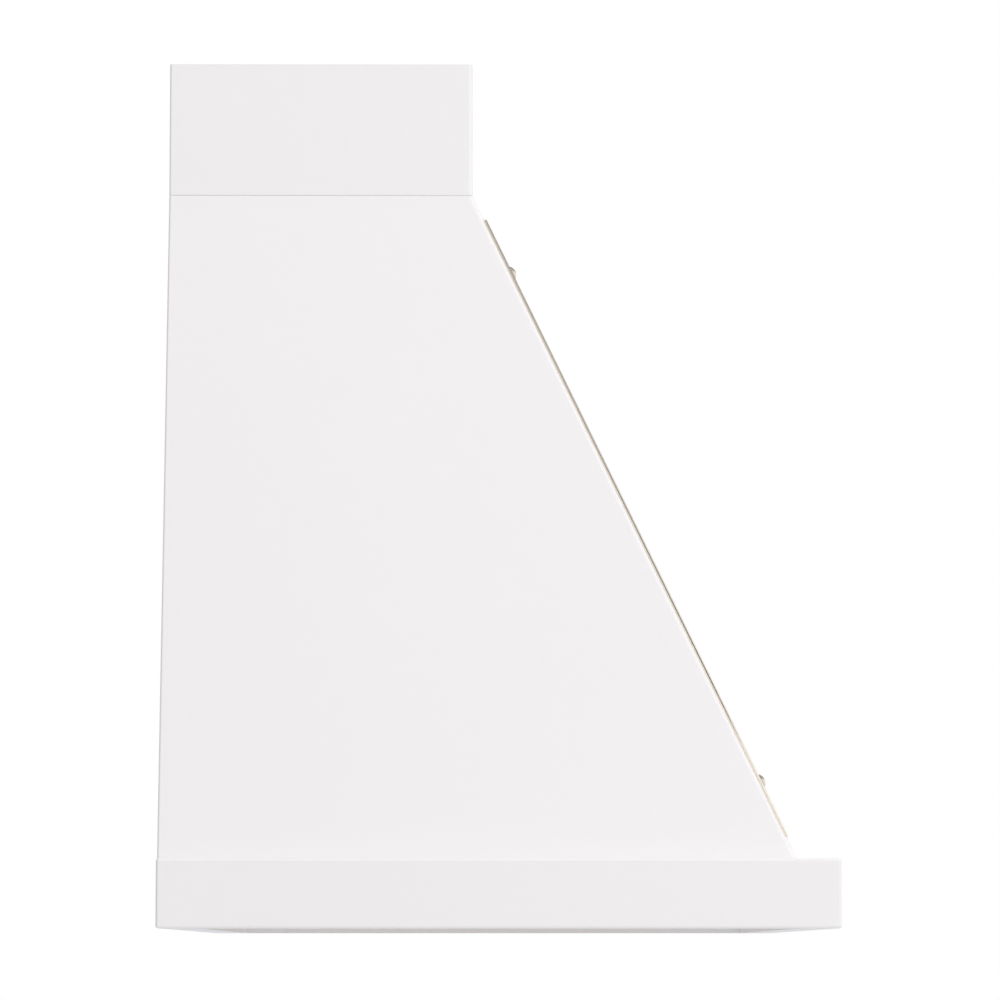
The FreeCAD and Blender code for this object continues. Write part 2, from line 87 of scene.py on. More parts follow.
lens = bpy.data.cameras.new("side_camera")
lens.sensor_width = SENSOR
lens.lens = FOCAL_PIXELS * SENSOR / PICTURE_SIDE
lens.clip_start, lens.clip_end = 0.05, 200
camera = bpy.data.objects.new("side_camera", lens)
bpy.context.scene.collection.objects.link(camera)
bpy.context.scene.camera = camera
looking = Vector((math.cos(PITCH) * math.cos(YAW), math.cos(PITCH) * math.sin(YAW), math.sin(PITCH)))
camera.location = CAMERA_PLACE
camera.rotation_mode = "QUATERNION"
camera.rotation_quaternion = looking.to_track_quat("-Z", "Y")
print("lens:", round(lens.lens, 2), "mm, looking", [round(part, 4) for part in looking])

# %% [markdown]
# ## Small helpers for shader nodes
#
# A procedural material is a graph of nodes. Writing it by hand takes three lines for each node, so a few
# helpers do it in one: each adds a node, fills its sockets with numbers or with other nodes' outputs, and
# gives back the output that is used next. That way a formula in the text reads like the graph it makes.

# %% Node helpers
def add(tree, kind, sockets=None, **settings):
    """Adds a node; sockets maps a socket's name or number to a value or to another node's output."""
    made = tree.nodes.new(kind)
    for name, value in settings.items():
        setattr(made, name, value)
    for key, value in (sockets or {}).items():
        if isinstance(value, bpy.types.NodeSocket):
            tree.links.new(value, made.inputs[key])
        else:
            made.inputs[key].default_value = value
    return made


def sums(tree, operation, *values):
    """One step of arithmetic on one, two or three numbers."""
    return add(tree, "ShaderNodeMath", dict(enumerate(values)), operation=operation).outputs[0]


def vectors(tree, operation, *values):
    """One step of vector arithmetic; the answer is a vector."""
    return add(tree, "ShaderNodeVectorMath", dict(enumerate(values)), operation=operation).outputs["Vector"]


def along(tree, point, direction):
    """How far a point lies along a direction: the dot product of the two."""
    made = add(tree, "ShaderNodeVectorMath", {0: point, 1: tuple(direction)}, operation="DOT_PRODUCT")
    return made.outputs["Value"]


def remap(tree, value, low, high, new_low=0.0, new_high=1.0, shape="SMOOTHSTEP"):
    """Takes low to new_low and high to new_high, and stays there beyond them."""
    sockets = {"Value": value, "From Min": low, "From Max": high, "To Min": new_low, "To Max": new_high}
    return add(tree, "ShaderNodeMapRange", sockets, interpolation_type=shape).outputs["Result"]


def noise(tree, vector, scale, detail=2.0, roughness=0.5):
    """Soft random values around 0.5; scale counts the lumps in a metre."""
    sockets = {"Vector": vector, "Scale": scale, "Detail": detail, "Roughness": roughness}
    return add(tree, "ShaderNodeTexNoise", sockets).outputs["Fac"]


def blend(tree, amount, first, second, kind="MIX"):
    """Mixes two colours: amount 0 is the first, 1 the second."""
    made = add(tree, "ShaderNodeMix", data_type="RGBA", blend_type=kind)
    for socket, value in zip((made.inputs[0], made.inputs[6], made.inputs[7]), (amount, first, second)):
        if isinstance(value, bpy.types.NodeSocket):
            tree.links.new(value, socket)
        else:
            socket.default_value = value
    return made.outputs[2]


def fade(tree, amount, first, second):
    """Mixes two numbers: first + amount * (second - first)."""
    return sums(tree, "MULTIPLY_ADD", amount, sums(tree, "SUBTRACT", second, first), first)


def colour(red, green, blue):
    """A colour as sockets take it, with its fourth number at 1."""
    return (red, green, blue, 1.0)


# %% [markdown]
# ## The studio
#
# A product picture like this one is lit softly from all round, with a little less from the wall behind. The
# surround is the world itself, in three versions. The camera sees plain white. A mirror sees a white wall up
# to about nineteen degrees above the horizon and a grey ceiling above it, with one white window straight in
# front of the cover. The ceiling is darkest at its foot, which is where polished brass changes sharply from
# pale to dark, and it grows paler for a few degrees above that. Light that falls on the cover comes from a
# plain and dimmer white. It is strongest on the two sides and loses a share of its strength towards the wall
# and a smaller one towards the front, so that faces stand apart.

# %% World
ROOM_LIGHT = 0.93
WALL_LOSS, FRONT_LOSS = 0.35, 0.2
GREY_FOOT, GREY_HEAD, GREY_TOP = (math.sin(math.radians(angle)) for angle in (18.6, 24.0, 32.0))
FOOT_TONE = colour(0.13, 0.106, 0.086)
HEAD_TONE = colour(0.56, 0.54, 0.515)
TOP_TONE = colour(0.42, 0.4, 0.38)
FOOT_BLUR = 0.004
WINDOW_EDGE, WINDOW_BLUR = 0.76, 0.04
MIRROR_LEVEL = 0.88
WHITE = colour(1.0, 1.0, 1.0)


def looking_rays(tree):
    """The kinds of ray, and 1 for each ray that looks: from the camera, off a mirror or through glass."""
    kinds = add(tree, "ShaderNodeLightPath").outputs
    looks = sums(tree, "MAXIMUM", kinds["Is Camera Ray"], kinds["Is Glossy Ray"])
    return kinds, sums(tree, "MAXIMUM", looks, kinds["Is Transmission Ray"])


def mirror_level(tree, kinds):
    """How bright the white surround is: full for the eye, a little less in a mirror."""
    return remap(tree, kinds["Is Glossy Ray"], 0.0, 1.0, 1.0, MIRROR_LEVEL)


world = bpy.data.worlds.new("studio")
bpy.context.scene.world = world
world.use_nodes = True
tree = world.node_tree
tree.nodes.clear()
kinds, looks = looking_rays(tree)
direction = add(tree, "ShaderNodeTexCoord").outputs["Generated"]
parts = add(tree, "ShaderNodeSeparateXYZ", {0: direction}).outputs
grey = remap(tree, parts["Z"], GREY_FOOT - FOOT_BLUR, GREY_FOOT + FOOT_BLUR)
walled = remap(tree, parts["Y"], -WINDOW_EDGE - WINDOW_BLUR, -WINDOW_EDGE + WINDOW_BLUR)
grey = sums(tree, "MULTIPLY", sums(tree, "MULTIPLY", grey, walled), kinds["Is Glossy Ray"])
ceiling = blend(tree, remap(tree, parts["Z"], GREY_FOOT, GREY_HEAD, shape="LINEAR"), FOOT_TONE, HEAD_TONE)
ceiling = blend(tree, remap(tree, parts["Z"], GREY_HEAD, GREY_TOP), ceiling, TOP_TONE)
seen = add(tree, "ShaderNodeBackground",
           {"Color": blend(tree, grey, WHITE, ceiling), "Strength": mirror_level(tree, kinds)})
to_wall, to_front = (sums(tree, side, parts["Y"], 0.0) for side in ("MAXIMUM", "MINIMUM"))
room = sums(tree, "MULTIPLY_ADD", to_wall, -WALL_LOSS * ROOM_LIGHT, ROOM_LIGHT)
room = sums(tree, "MULTIPLY_ADD", to_front, FRONT_LOSS * ROOM_LIGHT, room)
felt = add(tree, "ShaderNodeBackground", {"Color": WHITE, "Strength": room})
both = add(tree, "ShaderNodeMixShader", {0: looks, 1: felt.outputs[0], 2: seen.outputs[0]})
add(tree, "ShaderNodeOutputWorld", {"Surface": both.outputs[0]})
print("room light:", ROOM_LIGHT, " grey starts at", round(math.degrees(math.asin(GREY_FOOT)), 1), "degrees")

# %% [markdown]
# ## The floor and the lamps
#
# The cover hangs well above the floor, so its shadow is soft. The floor is pale and keeps that shadow: near
# the cover it is a plain matt surface with a little glow added for the eye, and farther out it turns into
# pure white. From below it is clear, because a wall-hung piece is also looked at from underneath. Three soft
# lamps help: a weak one before the front, a wide one at the side and one overhead, which lights the ledges. A
# faint cool card lies right below and makes up for the warm light that the bare timber inside gives back.

# %% Floor and lamps
FLOOR_DROP = 0.85
FLOOR_HALF = 9.0
FLOOR_PAINT = colour(0.72, 0.72, 0.72)
FLOOR_GLOW = 0.45
MATT_REACH, WHITE_FROM = 1.6, 3.2

floor_mesh = bpy.data.meshes.new("floor")
floor_corners = [(-1, -1), (1, -1), (1, 1), (-1, 1)]
floor_mesh.from_pydata([(x * FLOOR_HALF, y * FLOOR_HALF, -FLOOR_DROP) for x, y in floor_corners], [],
                       [(0, 1, 2, 3)])
floor = bpy.data.objects.new("floor", floor_mesh)
bpy.context.scene.collection.objects.link(floor)

pale = bpy.data.materials.new("pale_floor")
pale.use_nodes = True
tree = pale.node_tree
tree.nodes.clear()
kinds, looks = looking_rays(tree)
place = add(tree, "ShaderNodeTexCoord").outputs["Object"]
away = add(tree, "ShaderNodeVectorMath", {0: place}, operation="LENGTH").outputs["Value"]
far = remap(tree, away, MATT_REACH, WHITE_FROM)
matt = add(tree, "ShaderNodeBsdfDiffuse", {"Color": FLOOR_PAINT})
glow = sums(tree, "MULTIPLY", kinds["Is Camera Ray"], FLOOR_GLOW)
glow = add(tree, "ShaderNodeEmission", {"Color": WHITE, "Strength": glow})
white = add(tree, "ShaderNodeEmission", {"Color": WHITE, "Strength": mirror_level(tree, kinds)})
lit = add(tree, "ShaderNodeAddShader", {0: matt.outputs[0], 1: glow.outputs[0]})
shown = add(tree, "ShaderNodeMixShader", {0: far, 1: lit.outputs[0], 2: white.outputs[0]})
front_side = add(tree, "ShaderNodeMixShader", {0: looks, 1: matt.outputs[0], 2: shown.outputs[0]})
clear = add(tree, "ShaderNodeBsdfTransparent")
under = add(tree, "ShaderNodeNewGeometry").outputs["Backfacing"]
whole = add(tree, "ShaderNodeMixShader", {0: under, 1: front_side.outputs[0], 2: clear.outputs[0]})
add(tree, "ShaderNodeOutputMaterial", {"Surface": whole.outputs[0]})
floor_mesh.materials.append(pale)


def lamp(name, offset, size, level):
    """A square soft lamp aimed at the cover. Level is what it gives a matt white face turned to it.

    A lamp of power P watts at distance d gives a face turned to it P / (pi^2 * d^2) of full white,
    so the power is level * pi^2 * d^2.
    """
    data = bpy.data.lights.new(name, "AREA")
    data.shape = "SQUARE"
    data.size = size
    reach = Vector(offset)
    data.energy = level * math.pi ** 2 * reach.length_squared
    made = bpy.data.objects.new(name, data)
    bpy.context.scene.collection.objects.link(made)
    made.location = centre + reach
    made.rotation_mode = "QUATERNION"
    made.rotation_quaternion = (-reach).to_track_quat("-Z", "Y")
    print(name, "power:", round(data.energy, 1), "W")
    return made


lamp("front_lamp", (-1.9, -3.2, 1.1), 1.6, 0.05)
lamp("side_lamp", (-4.8, -2.5, 1.1), 4.4, 0.21)
lamp("top_lamp", (-0.6, -0.9, 3.4), 3.0, 0.17)
card = lamp("bounce_card", (0.0, 0.0, -1.15), 1.2, 0.16)
card.data.color = (0.72, 0.86, 1.0)
card.visible_camera = card.visible_glossy = False

bpy.context.scene.view_settings.view_transform = "Standard"

# %% [markdown]
# ## Reading the carpentry back
#
# The sizes of the small parts aren't typed in a second time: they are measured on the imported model. A board's
# outer plane is found from its triangles, and a node that holds many screws or dowels is split into its
# separate solids, so that each can get a finer copy exactly where it stands.

# %% Reading nodes
def corners_of(node):
    """A node's corner points, one row each."""
    mesh = NODES[node].data
    points = np.empty(len(mesh.vertices) * 3, dtype=np.float32)
    mesh.vertices.foreach_get("co", points)
    return points.reshape(-1, 3).astype(float)


def triangles_of(node):
    """A node's triangles, as rows of three point numbers."""
    mesh = NODES[node].data
    corners = np.empty(len(mesh.loops), dtype=np.int32)
    mesh.loops.foreach_get("vertex_index", corners)
    return corners.reshape(-1, 3)


def loose_solids(node):
    """The points of each separate solid in a node.

    Points in the same place become one. Every point starts with its own number as its label, and each
    triangle hands the lowest label of its three corners to all of them, over and over, until nothing changes.
    """
    points, number = np.unique(np.round(corners_of(node), 6), axis=0, return_inverse=True)
    triangles = number.reshape(-1)[triangles_of(node)]
    label = np.arange(len(points))
    changed = True
    while changed:
        spread = label.copy()
        np.minimum.at(spread, triangles, label[triangles].min(axis=1)[:, None])
        changed = bool((spread != label).any())
        label = spread[spread]
    return [points[label == value] for value in np.unique(label)]


def outer_plane(node, heart):
    """The outward direction of a board's widest outer face, and how far it lies along that direction.

    Half the cross product of two sides of a triangle points out of it and is as long as its area. Triangles
    with the same direction are added up, and the largest sum that looks away from the heart wins.
    """
    points = corners_of(node)
    first, second, third = (points[triangles_of(node)[:, corner]] for corner in range(3))
    areas = np.cross(second - first, third - first) / 2
    size = np.linalg.norm(areas, axis=1)
    facing = areas / np.maximum(size, 1e-12)[:, None]
    looks_out = np.einsum("ij,ij->i", facing, first - heart) > 0
    kind = np.unique(np.round(facing[looks_out], 3), axis=0, return_inverse=True)[1].reshape(-1)
    widest = np.argmax(np.bincount(kind, weights=size[looks_out]))
    normal = areas[looks_out][kind == widest].sum(axis=0)
    normal /= np.linalg.norm(normal)
    return normal, float((first[looks_out][kind == widest] @ normal).max())


chimney_low, chimney_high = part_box("chimney_left")
HEART = np.array([0.0, (chimney_low.y + chimney_high.y) / 2, centre.z])
BODY_PANELS = ["front_panel", "left_side_panel", "right_side_panel"]
CHIMNEY_BOARDS = ["chimney_front", "chimney_left", "chimney_right"]
PLANES = {node: outer_plane(node, HEART) for node in BODY_PANELS + CHIMNEY_BOARDS}
for node, (normal, reach) in PLANES.items():
    print(node, "faces", np.round(normal, 4), "at", round(reach, 4))

# %% [markdown]
# ## Turned parts
#
# Buttons, screws and dowels are all turned or rolled round an axis. Each is one closed skin: rows of points
# round the axis, from a pole at one end to a pole at the other. The rows are worked out as whole arrays, and
# the faces follow from the row and column numbers alone.

# %% Turned skins
def lathe_faces(rows, columns):
    """The faces of a skin whose first point is a pole, then rows of points, then the other pole."""
    ring = 1 + np.arange(rows * columns).reshape(rows, columns)
    beside = np.roll(ring, -1, axis=1)
    quads = np.stack([ring[:-1], beside[:-1], beside[1:], ring[1:]], axis=-1).reshape(-1, 4)
    first = np.stack([np.zeros(columns, dtype=int), beside[0], ring[0]], axis=-1)
    last = np.stack([np.full(columns, 1 + rows * columns), ring[-1], beside[-1]], axis=-1)
    return quads, np.concatenate([first, last])


def turned(radius, height, angle, place, direction, spin=0.0):
    """A closed skin round an axis that starts at a place and points along a direction.

    Radius, height and angle are arrays with one row of points each. A point stands at
    place + radius * (cos(angle) * side + sin(angle) * other side) + height * direction.
    The poles take the heights of the first and the last row.
    """
    direction = np.asarray(direction, dtype=float)
    helper = np.eye(3)[np.argmin(np.abs(direction))]
    side = np.cross(helper, direction)
    side /= np.linalg.norm(side)
    other = np.cross(direction, side)
    radius, height, angle = np.broadcast_arrays(radius, height, angle)
    around = (np.cos(angle + spin)[..., None] * side + np.sin(angle + spin)[..., None] * other)
    rows = place + radius[..., None] * around + height[..., None] * direction
    poles = [place + height[row].mean() * direction for row in (0, -1)]
    points = np.concatenate([poles[:1], rows.reshape(-1, 3), poles[1:]])
    return points, *lathe_faces(*radius.shape)


def looking_out(points, quads, triangles):
    """Turns all faces round where the volume that they enclose comes out negative."""
    fans = np.concatenate([quads[:, [0, 1, 2]], quads[:, [0, 2, 3]], triangles])
    volume = np.einsum("ij,ij->i", points[fans[:, 0]], np.cross(points[fans[:, 1]], points[fans[:, 2]])).sum()
    return (quads, triangles) if volume > 0 else (quads[:, ::-1], triangles[:, ::-1])


def new_piece(name, skins, node, sharp=35.0):
    """One object from several closed skins, in place of a CAD node; edges over the angle stay sharp."""
    points, faces, start = [], [], 0
    for skin in skins:
        quads, triangles = looking_out(*skin)
        points.append(skin[0])
        faces += (quads + start).tolist() + (triangles + start).tolist()
        start += len(skin[0])
    mesh = bpy.data.meshes.new(name)
    mesh.from_pydata(np.concatenate(points).tolist(), [], faces)
    mesh.shade_smooth()
    mesh.set_sharp_from_angle(angle=math.radians(sharp))
    made = bpy.data.objects.new(name, mesh)
    bpy.context.scene.collection.objects.link(made)
    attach(made, "root")
    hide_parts(node)
    print(name, "solids:", len(skins), " faces:", len(faces))
    return made


# %% [markdown]
# ## The brass straps' own directions
#
# A strap lies on the leaning front along the body's edge. Its three directions are known from two planes: it
# faces out as the front does, it runs along the line where the front meets the side, which is the cross
# product of the two planes' directions, and it is wide along the third. Patterns on the brass follow these.

# %% Strap directions
OUT = PLANES["front_panel"][0]


def strap_directions(side_node):
    """The directions across a strap, along it and out of it."""
    run = np.cross(PLANES[side_node][0], OUT)
    run *= np.sign(run[2]) / np.linalg.norm(run)
    return np.cross(run, OUT), run, OUT


STRAPS = {"left_strap": "left_side_panel", "right_strap": "right_side_panel"}
STRAP_AXES = {strap: strap_directions(side) for strap, side in STRAPS.items()}
for strap, axes in STRAP_AXES.items():
    spans = [np.ptp(corners_of(strap) @ axis) * 1000 for axis in axes]
    print(strap, "is", np.round(spans, 1), "mm across, along and out")

# %% [markdown]
# ## Domed buttons
#
# Each strap is held by two low domed buttons, which are short nails with a turned head. A real one isn't a
# bare piece of a ball: under the dome runs a fine lip, which catches a thin ring of light, and the nail below
# it has rings that grip the wood. The head's profile is a flat arc, a small step and a rolled edge, and it is
# spun round the nail's axis. A number on each point says how high up the dome it lies, so that a painted dark
# reflection can darken the brass towards the foot.

# %% Buttons
BUTTON_COLUMNS = 64
DOME_ROWS, LIP_ROWS, NECK_ROWS = 22, 9, 4
CROWN_ANGLE = 88.5
LIP_WIDTH, LIP_HEIGHT, LIP_ROUND = 0.0007, 0.0006, 0.00028
STEP_OUT, STEP_DOWN = 0.00008, 0.00012
NECK_ROUND = 0.0003
NAIL_RING_DEPTH, NAIL_RING_GAP = 0.00018, 0.0009
RINGS_FROM, RINGS_TO_TIP = 0.0012, 0.0022


def arc(middle, radius, start, end, count):
    """Points on a round arc, as radius and height; angles in degrees, 0 outwards and 90 up."""
    turn = np.radians(np.linspace(start, end, count))
    return np.stack([middle[0] + radius * np.cos(turn), middle[1] + radius * np.sin(turn)], axis=-1)


def button_profile(head, rise, nail, drop):
    """A button's outline from the crown down: dome, step, rolled lip, underside, ringed nail, point.

    The dome is an arc of radius (c * c + r * r) / (2 * r), where c is its half width and r its rise. The
    nail's rings are a saw: going down, its radius shrinks evenly over one gap and then jumps back.
    """
    dome_half, dome_rise = head - LIP_WIDTH, rise - LIP_HEIGHT
    ball = (dome_half ** 2 + dome_rise ** 2) / (2 * dome_rise)
    lowest = math.degrees(math.asin((ball - dome_rise) / ball))
    dome = arc((0.0, rise - ball), ball, CROWN_ANGLE, lowest, DOME_ROWS)
    step = [(dome_half + STEP_OUT, LIP_HEIGHT - STEP_DOWN)]
    lip = arc((head - LIP_ROUND, LIP_ROUND), LIP_ROUND, 110, -90, LIP_ROWS)
    neck = arc((nail + NECK_ROUND, -NECK_ROUND), NECK_ROUND, 90, 180, NECK_ROWS)
    rings = np.arange(-RINGS_FROM, -drop + RINGS_TO_TIP, -NAIL_RING_GAP / 4)
    teeth = nail - NAIL_RING_DEPTH * ((-rings / NAIL_RING_GAP) % 1.0)
    shank = np.stack([teeth, rings], axis=-1)
    tip = [(nail * 0.8, -drop + 0.0016), (nail * 0.15, -drop + 0.0001)]
    return np.concatenate([dome, step, lip, neck, shank, tip])


def button(solid):
    """The fine copy of one CAD button, measured on its points."""
    depth = solid @ OUT
    crown = solid[np.argmax(depth)]
    away = solid - crown
    radial = np.linalg.norm(away - np.outer(away @ OUT, OUT), axis=1)
    head = radial.max()
    foot = depth[radial > 0.95 * head].min()
    rise, drop = depth.max() - foot, foot - depth.min()
    nail = radial[depth < foot - 0.5 * drop].max()
    profile = button_profile(head, rise, nail, drop)
    angle = np.linspace(0, 2 * math.pi, BUTTON_COLUMNS, endpoint=False)
    skin = turned(profile[:, :1], profile[:, 1:], angle[None, :], crown - rise * OUT, OUT)
    return skin, rise, crown


BUTTONS = []
for solid in loose_solids("strap_buttons"):
    skin, rise, crown = button(solid)
    side = "left" if crown[0] < 0 else "right"
    level = "lower" if crown[2] < centre.z else "upper"
    piece = new_piece(f"{side}_{level}_button", [skin], "strap_buttons", sharp=50.0)
    heights = (skin[0] - crown) @ OUT / rise + 1
    piece.data.attributes.new("dome_height", "FLOAT", "POINT").data.foreach_set("value", heights)
    BUTTONS.append((piece, crown - rise * OUT))
print("button heads:", round(rise * 1000, 2), "mm high")

# %% [markdown]
# ## Threaded screws
#
# The CAD screws are smooth cones and shanks, which is right for their holes. The real ones have a rolled
# thread and a driver recess. The head is a grid whose columns are bent to run along the edges of the four
# recess arms: an arm of half width w has its edge at the angle asin(w / r) on a ring of radius r. The thread
# is a ridge whose height follows h / pitch - angle / (2 pi), so that one turn climbs one pitch.

# %% Screws
SCREW_SECTOR = 6
SCREW_COLUMNS = 4 * SCREW_SECTOR
ARM_HALF, ARM_REACH = 0.00045, 0.0023
RECESS_DEPTH, RECESS_RISE = 0.0013, 0.3
RIM_HEIGHT, NECK_HEIGHT = 0.00025, 0.0004
THREAD_PITCH, THREAD_ROWS = 0.0019, 6
RIDGE_HALF = 0.3
CORE_SHARE, RUN_IN_SHARE, PLAIN_SHARE = 0.7, 0.23, 0.25
POINT_LENGTH, TIP_SHARE, TIP_GAP = 0.004, 0.06, 0.0003
EVEN_ANGLES = np.arange(SCREW_COLUMNS) * 2 * math.pi / SCREW_COLUMNS - math.pi / 4


def recess_rings(head):
    """Radius, height and angle of the rings on a screw's face, with a cross recess sunk into them.

    In each quarter the six columns stand at -45 degrees, the arm's edge, the foot of its wall, its middle,
    the other foot and the other edge. The floor rises a little towards the arms' ends.
    """
    corner = ARM_HALF * math.sqrt(2)
    rings = np.array([0.4 * corner, 0.9 * corner, 1.15 * corner, 0.6 * ARM_REACH, ARM_REACH,
                      1.04 * ARM_REACH, 0.8 * head, 0.97 * head])
    edge = np.arcsin(np.minimum(1.0, ARM_HALF / rings))[:, None]
    share = np.array([0.0, -1.0, -0.8, 0.0, 0.8, 1.0])
    bent = np.where(share == 0.0, 0.0, share * edge)
    bent[:, 0] = -math.pi / 4
    quarters = np.repeat(np.arange(4) * math.pi / 2, SCREW_SECTOR)[None, :]
    angle = np.tile(bent, (1, 4)) + quarters
    inside = (rings < corner)[:, None]
    angle = np.where(inside, EVEN_ANGLES[None, :], angle)
    floor_column = np.tile(np.isin(np.arange(SCREW_SECTOR), (2, 3, 4)), 4)[None, :]
    sunk = inside | (floor_column & (rings <= ARM_REACH)[:, None])
    depth = RECESS_DEPTH * (1 - RECESS_RISE * rings / ARM_REACH)[:, None]
    radius = np.repeat(rings[:, None], SCREW_COLUMNS, axis=1)
    return radius, np.where(sunk, depth, 0.0), angle


def threaded_rows(head, shank, length, sink):
    """Radius, height and angle of the rows below a screw's face: cone, plain neck, thread and point.

    The core is a share of the shank and tapers over the point's length. The thread rises from it over its
    first turn, as a ridge that falls off evenly to both sides of the turn's middle.
    """
    cone = np.array([[head, RIM_HEIGHT], [shank * 1.02, sink], [shank * 0.93, sink + NECK_HEIGHT]])
    start = sink + PLAIN_SHARE * length
    heights = np.arange(start, length - TIP_GAP, THREAD_PITCH / THREAD_ROWS)[:, None]
    climb = (heights / THREAD_PITCH - EVEN_ANGLES[None, :] / (2 * math.pi)) % 1.0
    ridge = np.maximum(0.0, 1 - np.abs(climb - 0.5) / RIDGE_HALF)
    taper = np.clip((length - heights) / POINT_LENGTH, TIP_SHARE, 1.0)
    lead = np.clip((heights - start) / THREAD_PITCH, 0.0, 1.0)
    core = shank * (CORE_SHARE * taper + RUN_IN_SHARE * (1 - lead))
    thread = core + (shank * np.minimum(1.0, taper * 1.25) - core) * ridge * lead
    plain = np.repeat(cone, SCREW_COLUMNS, axis=1).reshape(len(cone), 2, SCREW_COLUMNS)
    radius = np.concatenate([plain[:, 0], thread])
    height = np.concatenate([plain[:, 1], np.repeat(heights, SCREW_COLUMNS, axis=1)])
    return radius, height, np.repeat(EVEN_ANGLES[None, :], len(radius), axis=0)


def screw(solid, spin):
    """The fine copy of one CAD screw. It points along its longest side, away from its wide end."""
    low, high = solid.min(axis=0), solid.max(axis=0)
    axis = int(np.argmax(high - low))
    middle = (low + high) / 2
    away = np.linalg.norm(np.delete(solid - middle, axis, axis=1), axis=1)
    head = away.max()
    wide_end = solid[away > 0.95 * head][:, axis].mean()
    direction = np.eye(3)[axis] * np.sign(middle[axis] - wide_end)
    length = high[axis] - low[axis]
    place = middle - direction * length / 2
    down = (solid - place) @ direction
    shank = away[down > length / 2].max()
    sink = down[np.abs(away - shank) < 0.00001].min()
    face = recess_rings(head)
    body = threaded_rows(head, shank, length, sink)
    rows = [np.concatenate(pair) for pair in zip(face, body)]
    return turned(*rows, place, direction, spin)


chance = np.random.default_rng(12)
SCREW_NODES = [node for node in sorted(NODES) if node.endswith("_screws")]
for node in SCREW_NODES:
    skins = [screw(solid, chance.uniform(0, math.pi)) for solid in loose_solids(node)]
    new_piece("threaded_" + node, skins, node)

# %% [markdown]
# ## Fluted dowels
#
# A dowel from the box isn't a plain pin. Straight flutes are rolled into it, so that glue can escape from the
# hole, and its ends are chamfered. The radius follows the angle: the full radius, less a flute's depth times
# the square of a cosine that goes round as often as there are flutes.

# %% Dowels
FLUTES = 12
DOWEL_COLUMNS = 4 * FLUTES
FLUTE_DEPTH, DOWEL_CHAMFER = 0.00028, 0.0008


def dowel(solid):
    """The fine copy of one CAD dowel, along its longest side."""
    low, high = solid.min(axis=0), solid.max(axis=0)
    axis = int(np.argmax(high - low))
    length = high[axis] - low[axis]
    full = np.delete(high - low, axis).max() / 2
    angle = np.linspace(0, 2 * math.pi, DOWEL_COLUMNS, endpoint=False)[None, :]
    ends = np.array([0.0, DOWEL_CHAMFER, 2.5 * DOWEL_CHAMFER])
    height = np.concatenate([ends, length - ends[::-1]])[:, None]
    chamfer = np.array([full - DOWEL_CHAMFER, full, full])
    outer = np.concatenate([chamfer, chamfer[::-1]])[:, None]
    flute = FLUTE_DEPTH * np.cos(angle * FLUTES / 2) ** 2
    place = (low + high) / 2 - np.eye(3)[axis] * length / 2
    return turned(outer - flute, height, angle, place, np.eye(3)[axis])


DOWEL_NODES = [node for node in sorted(NODES) if node.endswith("_dowels")]
for node in DOWEL_NODES:
    new_piece("fluted_" + node, [dowel(solid) for solid in loose_solids(node)], node)

# %% [markdown]
# ## Finishes
#
# Five finishes cover the whole piece: white sprayed paint, bare poplar, beech, zinc and brass. Each effect
# that more than one material needs is a node group, which works out colours, roughness and heights from a
# place. Heights are in metres, so the bump node that takes them needs no guessing. The shader itself stays in
# each material, together with the numbers that are the same all over.

# %% Groups and materials
FLOAT, VECTOR, COLOUR = "NodeSocketFloat", "NodeSocketVector", "NodeSocketColor"
SURFACE = {"Color": COLOUR, "Roughness": FLOAT, "Height": FLOAT}


def new_group(name, inputs, outputs):
    """An empty node group, with its inputs and outputs made and handed back by name."""
    made = bpy.data.node_groups.new(name, "ShaderNodeTree")
    for way, sockets in (("INPUT", inputs), ("OUTPUT", outputs)):
        for label, kind in sockets.items():
            made.interface.new_socket(name=label, in_out=way, socket_type=kind)
    return made, made.nodes.new("NodeGroupInput").outputs, made.nodes.new("NodeGroupOutput").inputs


def put_out(tree, given, **values):
    """Links values to a group's outputs."""
    for label, value in values.items():
        tree.links.new(value, given[label])


def use(tree, group, sockets):
    """Places a group in a material with the material's own values, and hands back what it puts out."""
    return add(tree, "ShaderNodeGroup", sockets, node_tree=group).outputs


def new_material(name):
    """An empty material, its node tree, and the place of the shaded point on the object."""
    made = bpy.data.materials.new(name)
    made.use_nodes = True
    made.node_tree.nodes.clear()
    place = add(made.node_tree, "ShaderNodeTexCoord").outputs["Object"]
    return made, made.node_tree, place


def shaded(tree, surface, constants):
    """Ends a material: one shader takes a surface's colour, its roughness and a bump of its heights.

    The constants are numbers that are the same all over, and are set on the shader's own sockets.
    """
    bump = add(tree, "ShaderNodeBump", {"Height": surface["Height"], "Distance": 1.0, "Strength": 1.0})
    shader = add(tree, "ShaderNodeBsdfPrincipled", {
        "Base Color": surface["Color"], "Roughness": surface["Roughness"], "Normal": bump.outputs["Normal"],
        **constants})
    add(tree, "ShaderNodeOutputMaterial", {"Surface": shader.outputs[0]})


# %% [markdown]
# ### Timber
#
# A board is a slice out of a trunk, so its pattern is worked out in the whole trunk and not on the surface.
# The year rings are the distance from the pith divided by the gap between rings, bent a little by slow noise,
# and where the slice cuts them at a slant they show as the wide arches of flat-sawn boards. Good and bad
# years differ: noise along the ring count makes some rings wider and some darker. Fibres and small dark
# flecks are noise drawn out along the grain. End grain comes out right by itself.

